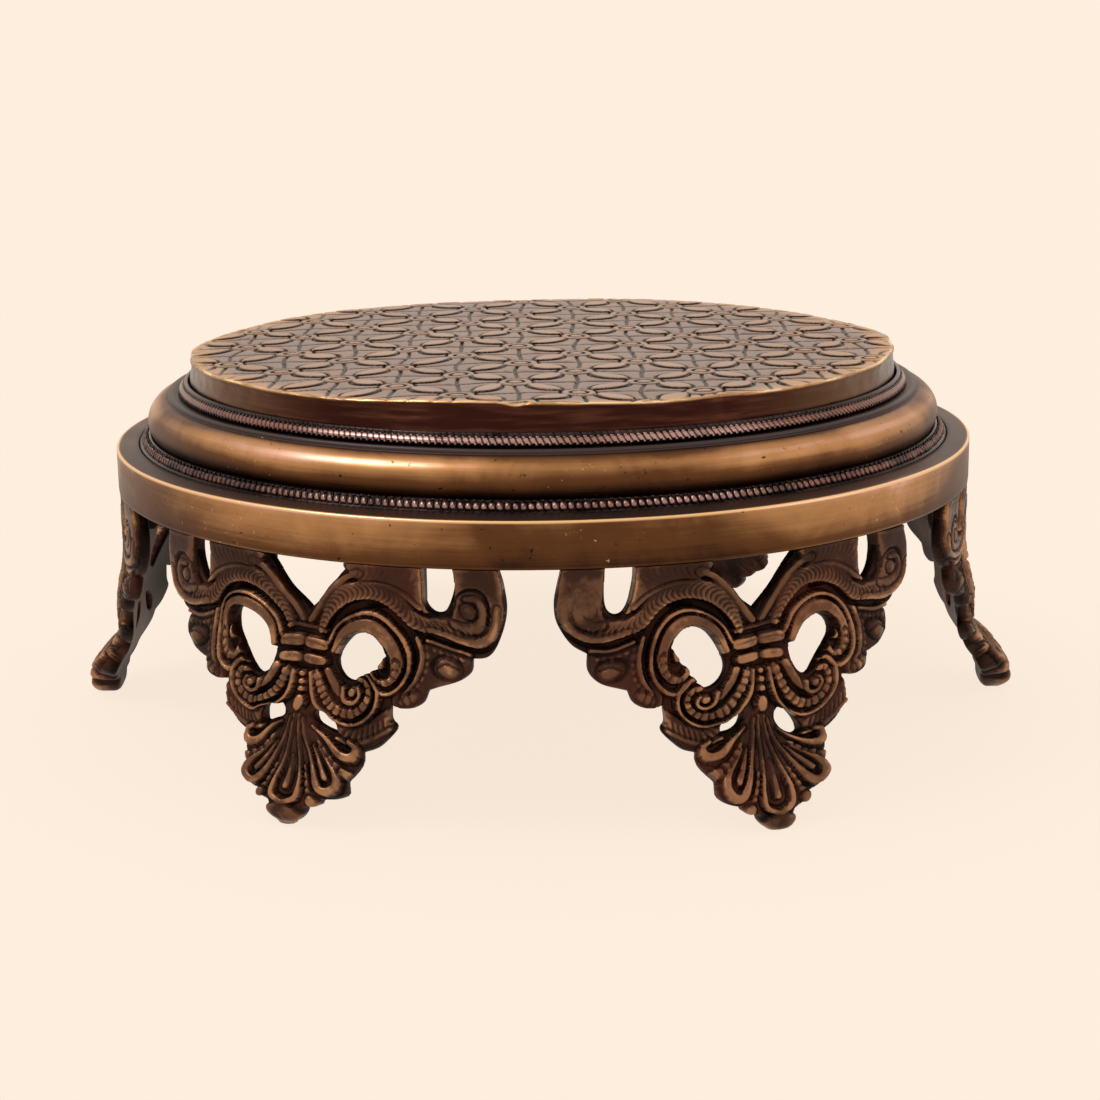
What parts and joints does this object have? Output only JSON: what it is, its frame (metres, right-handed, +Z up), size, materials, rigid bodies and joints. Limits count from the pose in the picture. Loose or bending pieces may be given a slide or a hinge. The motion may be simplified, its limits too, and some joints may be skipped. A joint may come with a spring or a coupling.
{
  "type": "bajot low table",
  "caption": "Round low cast-brass table: engraved flat top, stepped round moulding with milled strips, plain apron band and openwork scroll legs with turned-out toes.",
  "frame": {"origin": "centre of the table's footprint, on the surface that it stands on", "axes": "+Z up along the table's own axis, -Y to the front, halfway between the two front legs, +X to the right through a side leg"},
  "size_m": [0.3358, 0.3098, 0.1299],
  "materials": {
    "greyed_brass": "engraved and worn, grey-pink brown with dark recesses",
    "golden_brass": "turned, satin antique gold with brown shading",
    "dark_brass": "cast relief, dark brown patina with copper-gold worn ridges",
    "coppery_brass": "knurled beads, dark with coppery worn crests",
    "screw_steel": "plain machine screw"
  },
  "bodies": {
    "root": {"top_plate": "greyed_brass", "upper_milled_strip": "coppery_brass", "round_moulding_ring": "golden_brass", "lower_milled_strip": "coppery_brass", "apron_ring": "golden_brass", "front_left_leg": "dark_brass", "front_right_leg": "dark_brass", "side_left_leg": "dark_brass", "side_right_leg": "dark_brass", "rear_left_leg": "dark_brass", "rear_right_leg": "dark_brass", "front_left_leg_screw_1": "screw_steel", "front_left_leg_screw_2": "screw_steel", "front_right_leg_screw_1": "screw_steel", "front_right_leg_screw_2": "screw_steel", "side_left_leg_screw_1": "screw_steel", "side_left_leg_screw_2": "screw_steel", "side_right_leg_screw_1": "screw_steel", "side_right_leg_screw_2": "screw_steel", "rear_left_leg_screw_1": "screw_steel", "rear_left_leg_screw_2": "screw_steel", "rear_right_leg_screw_1": "screw_steel", "rear_right_leg_screw_2": "screw_steel", "top_screw_1": "screw_steel", "top_screw_2": "screw_steel", "top_screw_3": "screw_steel", "top_screw_4": "screw_steel", "top_screw_5": "screw_steel", "top_screw_6": "screw_steel"}
  },
  "joints": []
}
